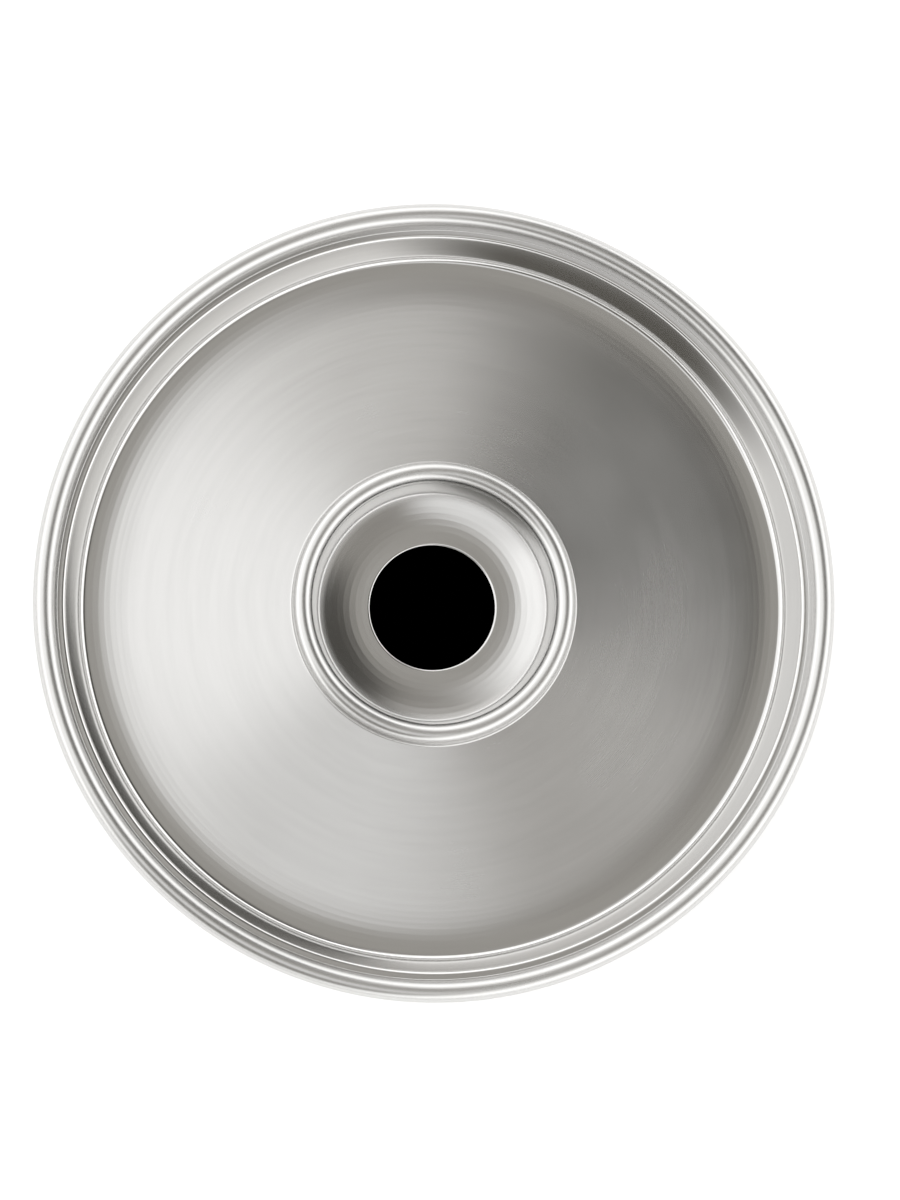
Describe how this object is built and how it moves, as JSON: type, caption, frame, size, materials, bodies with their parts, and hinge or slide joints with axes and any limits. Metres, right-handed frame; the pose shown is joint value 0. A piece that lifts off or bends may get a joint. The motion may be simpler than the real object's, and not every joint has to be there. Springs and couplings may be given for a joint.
{
  "type": "ring baker base",
  "caption": "Round pressed-steel base dish of a stovetop ring baker, with a wired rim, a pan ledge and a raised collar round a chimney hole.",
  "frame": {"origin": "on the axis, at the height of the level ring round the hole, which the dish stands on", "axes": "+Z along the axis, out of the open side of the dish; X and Y are any two directions across it"},
  "size_m": [0.25, 0.25, 0.0316],
  "materials": {
    "dish_steel": "spun satin floor, bright rim and collar",
    "cup_steel": "spun satin",
    "wire_steel": "drawn wire"
  },
  "bodies": {
    "root": {"dish": "dish_steel", "centre_cup": "cup_steel", "rim_wire": "wire_steel"}
  },
  "joints": []
}
